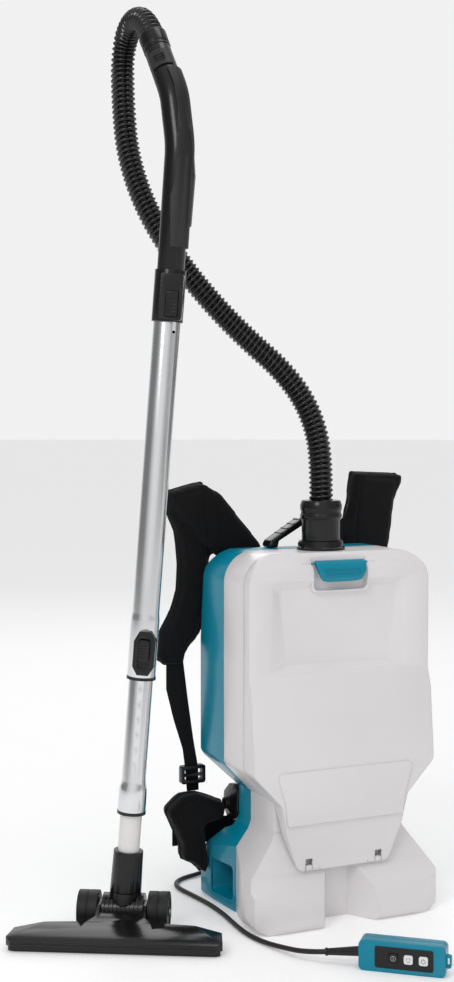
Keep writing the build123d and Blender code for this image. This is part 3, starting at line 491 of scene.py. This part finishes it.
# ---- marks on the handset's buttons -----------------------------------------------------------
HANDSET_TURN = -40.8
HANDSET_PLACE = Matrix.Translation((-0.078, -0.285, 0.0)) @ Matrix.Rotation(math.radians(HANDSET_TURN), 4, "Z")
BUTTON_FACE = -2.45


def arc_mark(name, x, radius, first, last, body, material):
    """A thin printed arc on the button at local x, in degrees from straight up."""
    points = []
    for i in range(25):
        angle = math.radians(first + (last - first) * i / 24)
        local = Vector((x + radius * math.sin(angle), BUTTON_FACE, 20.5 + radius * math.cos(angle))) * MM
        points.append(HANDSET_PLACE @ local)
    link_mesh(name, tube_mesh(name, points, lambda s, a: 0.00032, 6), body, "black_plastic", material)


def bar_mark(name, x, z, height, body, material):
    bm = bmesh.new()
    place = HANDSET_PLACE @ Matrix.Translation(Vector((x, BUTTON_FACE, z)) * MM)
    add_bar(bm, (0.0007, 0.0005, height * MM), place, 0.0002)
    link_mesh(name, mesh_of(bm, name), body, "black_plastic", material)


arc_mark("power_mark_ring", 87.0, 2.7, 35, 325, "power", MARK_DARK)
bar_mark("power_mark_bar", 87.0, 22.6, 3.0, "power", MARK_DARK)
for turn in (0, 120, 240):
    arc_mark(f"mode_mark_{turn}", 67.0, 2.7, turn + 15, turn + 95, "mode", MARK_DARK)
arc_mark("boost_mark_ring", 47.0, 3.2, 0, 360, "boost", MARK_PALE)
bar_mark("boost_mark_bar", 47.0, 20.5, 3.2, "boost", MARK_PALE)


# ---- soft parts -------------------------------------------------------------------------------
VOXEL = 0.0045


def section_loops(mesh, y):
    """Closed outlines of a mesh where the plane at y cuts it, longest first."""
    bm = bmesh.new()
    bm.from_mesh(mesh)
    bmesh.ops.remove_doubles(bm, verts=bm.verts, dist=1e-6)
    cut = bmesh.ops.bisect_plane(bm, geom=bm.verts[:] + bm.edges[:] + bm.faces[:], plane_co=(0, y, 0),
                                 plane_no=(0, 1, 0))["geom_cut"]
    edges = {e for e in cut if isinstance(e, bmesh.types.BMEdge)}
    loops = []
    while edges:
        edge = edges.pop()
        start, here = edge.verts
        loop = [start.co.copy(), here.co.copy()]
        while True:
            following = next((e for e in here.link_edges if e in edges), None)
            if following is None:
                break
            edges.remove(following)
            here = following.other_vert(here)
            loop.append(here.co.copy())
        loops.append(loop)
    bm.free()
    return sorted(loops, key=len, reverse=True)


def press_stitching(mesh, loops, inset, channels):
    """Pulls in a line of stitching inside the outline, and straight channels at (axis, place)."""
    rim = [p for loop in loops for p in resampled(loop, 0.003)[0]]
    tree = KDTree(len(rim))
    for i, point in enumerate(rim):
        tree.insert(Vector((point.x, 0, point.z)), i)
    tree.balance()
    places = [v.co.copy() for v in mesh.vertices]
    facing = [v.normal.y for v in mesh.vertices]
    flat = []
    for place, normal_y in zip(places, facing):
        if abs(normal_y) > 0.5:
            away = tree.find(Vector((place.x, 0, place.z)))[2]
            press = 0.0016 * math.exp(-((away - inset) / 0.0024) ** 2)
            for axis, middle in channels:
                press = max(press, 0.0022 * math.exp(-((place[axis] - middle) / 0.004) ** 2))
            place.y -= math.copysign(press, normal_y)
        flat.extend(place)
    mesh.vertices.foreach_set("co", flat)


def stuff(node, name, pressure=4.0, cap=0.006, slack=(0.003, 0.004, 0.003), border=0.011, channels=()):
    """Turns a plain CAD pad into a stuffed one: remeshed, blown up as cloth, then stitched."""
    lowest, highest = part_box(node)
    loops_y = (lowest.y + highest.y) / 2 if "shoulder" not in node else highest.y - 0.009
    loops = section_loops(NODES[node].data, loops_y)
    mesh = with_modifiers(NODES[node].data.copy(), name + "_work", [
        ("REMESH", {"mode": "VOXEL", "voxel_size": VOXEL}),
        ("SMOOTH", {"factor": 0.6, "iterations": 5})])
    start = [v.co.copy() for v in mesh.vertices]
    worker = bpy.data.objects.new(name + "_cloth", mesh)
    bpy.context.scene.collection.objects.link(worker)
    cloth = worker.modifiers.new("cloth", "CLOTH")
    cloth.settings.use_pressure = True
    cloth.settings.uniform_pressure_force = pressure
    cloth.settings.effector_weights.gravity = 0.0
    cloth.settings.quality = 4
    cloth.collision_settings.use_collision = False
    cloth.point_cache.frame_start = 1
    cloth.point_cache.frame_end = 20
    for step in range(1, 21):
        bpy.context.scene.frame_set(step)
    graph = bpy.context.evaluated_depsgraph_get()
    swollen = bpy.data.meshes.new_from_object(worker.evaluated_get(graph))
    bpy.data.objects.remove(worker)
    bpy.context.scene.frame_set(1)
    mesh = swollen
    flat = []
    for new, old in zip([v.co.copy() for v in mesh.vertices], start):
        move = new - old
        if move.length > cap:
            move = move.normalized() * cap
        for axis in range(3):
            value = old[axis] + move[axis]
            flat.append(min(max(value, lowest[axis] - slack[axis]), highest[axis] + slack[axis]))
    mesh.vertices.foreach_set("co", flat)
    mesh = with_modifiers(mesh, name + "_fine", [("SUBSURF", {"levels": 1, "render_levels": 1})])
    press_stitching(mesh, loops, border, channels)
    mesh.update()
    smooth_by_angle(mesh, 80)
    piece = link_mesh(name, mesh, "pack", SLOT_OF[node])
    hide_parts(node)
    return loops


def piping(name, cushion, loops, radius=0.0017):
    """Bound edge that runs round a pad, laid on the rim of the finished cushion."""
    skin = [v.co.copy() for v in bpy.data.objects[cushion].data.vertices]
    tree = KDTree(len(skin))
    for i, place in enumerate(skin):
        tree.insert(place, i)
    tree.balance()
    for i, loop in enumerate(loops):
        points = resampled(loop, 0.004)[0][:-1]
        moves = [tree.find(p)[0] - p for p in points]
        laid = []
        for k, point in enumerate(points):
            nearby = [moves[(k + d) % len(moves)] for d in (-2, -1, 0, 1, 2)]
            laid.append(point + sum(nearby, Vector()) / len(nearby))
        mesh = tube_mesh(f"{name}_{i}", laid, lambda s, a: radius, 8, closed=True)
        link_mesh(f"{name}_{i}", mesh, "pack", "webbing")


for side in ("left", "right"):
    outline = stuff(f"shoulder_pad_{side}", f"shoulder_cushion_{side}")
    piping(f"shoulder_piping_{side}", f"shoulder_cushion_{side}", outline[:1])
outlines = stuff("hip_pads", "hip_cushions", cap=0.007)
piping("hip_piping", "hip_cushions", outlines[:2])
outlines = stuff("back_pad", "back_cushion", slack=(0.003, 0.0002, 0.003),
                 channels=((0, -0.034), (0, 0.034), (2, 0.340), (2, 0.402)))
piping("back_piping", "back_cushion", outlines)
stuff("dust_bag", "dust_bag_fleece", cap=0.004, slack=(0.002, 0.0005, 0.0003), border=0.02)


# ---- webbing ----------------------------------------------------------------------------------
def ribbon(name, left, right, y, thickness, waves=0.0):
    """Flat webbing between two edge lines of (x, z) points, with soft edges and a slight wave."""
    count = 48
    rails = []
    for edge in (left, right):
        points = [Vector((x, 0, z)) * MM for x, z in edge]
        total = resampled(points, 0.001)[1]
        rails.append(resampled(points, total / count)[0][:count + 1])
    bm = bmesh.new()
    rows = []
    profile = [(0.0, 0.0), (0.04, 0.42), (0.12, 0.5), (0.5, 0.5), (0.88, 0.5), (0.96, 0.42), (1.0, 0.0),
               (0.96, -0.42), (0.88, -0.5), (0.5, -0.5), (0.12, -0.5), (0.04, -0.42)]
    for i, (a, b) in enumerate(zip(*rails)):
        swing = waves * math.sin(math.pi * i / count) ** 2
        rows.append([bm.verts.new(a.lerp(b, u) + Vector((0, y * MM + swing + h * thickness * MM, 0)))
                     for u, h in profile])
    size = len(profile)
    for a, b in zip(rows, rows[1:]):
        for k in range(size):
            bm.faces.new((a[k], a[(k + 1) % size], b[(k + 1) % size], b[k]))
    bm.faces.new(list(reversed(rows[0])))
    bm.faces.new(rows[-1])
    mesh = mesh_of(bm, name)
    smooth_by_angle(mesh, 40)
    return link_mesh(name, mesh, "pack", "webbing")


STRAP_OUTER = [(-194, 364), (-194, 320), (-182, 273), (-167, 226), (-163, 196), (-160, 160)]
STRAP_INNER = [(-166, 364), (-158, 302), (-149, 240), (-141, 196), (-140, 160)]
for side, sign in (("left", 1), ("right", -1)):
    outer = [(sign * x, z) for x, z in STRAP_OUTER]
    inner = [(sign * x, z) for x, z in STRAP_INNER]
    strap = ribbon(f"strap_{side}", outer, inner, 104.2, 2.0)
    belt = ribbon(f"belt_{side}", [(-sign * 186, 78), (-sign * 36, 78)], [(-sign * 186, 116), (-sign * 36, 116)],
                  99.7, 2.2)
    if side == "left":
        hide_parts("strap_webbing")
        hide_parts("belt_webbing")

# ---- floor and light --------------------------------------------------------------------------
floor_mesh = bmesh.new()
bmesh.ops.create_circle(floor_mesh, cap_ends=True, segments=96, radius=40.0)
floor = bpy.data.objects.new("floor", mesh_of(floor_mesh, "floor"))
bpy.context.scene.collection.objects.link(floor)
paint(floor, moulded("floor_pale", (0.93, 0.93, 0.93), 0.8, grain=6.0, strength=0.02, spread=0.005, soft_edge=0.0,
                     Specular_IOR_Level=0.1, Emission_Color=(1.0, 1.0, 1.0, 1.0), Emission_Strength=0.14))

# The studio is pale in front and behind and darker to the left and right, which gives tubes their dark edges.
STUDIO_TURN = 24.6
STUDIO_BRIGHT, STUDIO_DARK = 0.88, 0.22
world = bpy.data.worlds.new("studio")
world.use_nodes = True
studio = world.node_tree
direction = studio.nodes.new("ShaderNodeTexCoord")
turned = add_node(studio, "ShaderNodeVectorRotate", rotation_type="Z_AXIS", Angle=math.radians(STUDIO_TURN))
split = studio.nodes.new("ShaderNodeSeparateXYZ")
sideways = add_node(studio, "ShaderNodeMath", operation="MULTIPLY")
fade = studio.nodes.new("ShaderNodeMapRange")
fade.inputs["From Min"].default_value = 0.05
fade.inputs["From Max"].default_value = 0.8
fade.inputs["To Min"].default_value = STUDIO_BRIGHT
fade.inputs["To Max"].default_value = STUDIO_DARK
studio.links.new(direction.outputs["Generated"], turned.inputs["Vector"])
studio.links.new(turned.outputs["Vector"], split.inputs["Vector"])
studio.links.new(split.outputs["X"], sideways.inputs[0])
studio.links.new(split.outputs["X"], sideways.inputs[1])
studio.links.new(sideways.outputs["Value"], fade.inputs["Value"])
studio.links.new(fade.outputs["Result"], studio.nodes["Background"].inputs["Strength"])
studio.nodes["Background"].inputs["Color"].default_value = (1.0, 1.0, 1.0, 1.0)
bpy.context.scene.world = world


def area_light(name, place, target, size, power):
    data = bpy.data.lights.new(name, "AREA")
    data.shape = "DISK"
    data.size = size
    data.energy = power
    lamp = bpy.data.objects.new(name, data)
    lamp.location = place
    lamp.rotation_euler = (Vector(target) - Vector(place)).to_track_quat("-Z", "Y").to_euler()
    bpy.context.scene.collection.objects.link(lamp)


AIM = (-0.1, 0.0, 0.5)
area_light("key", (-2.2, -1.7, 2.3), AIM, 1.1, 20)
area_light("top", (0.2, -0.5, 3.0), AIM, 1.0, 8)
area_light("fill", (2.2, -2.0, 1.6), AIM, 2.0, 3)
area_light("back", (0.6, 2.6, 2.4), AIM, 1.8, 12)
bpy.context.scene.view_settings.view_transform = "Standard"
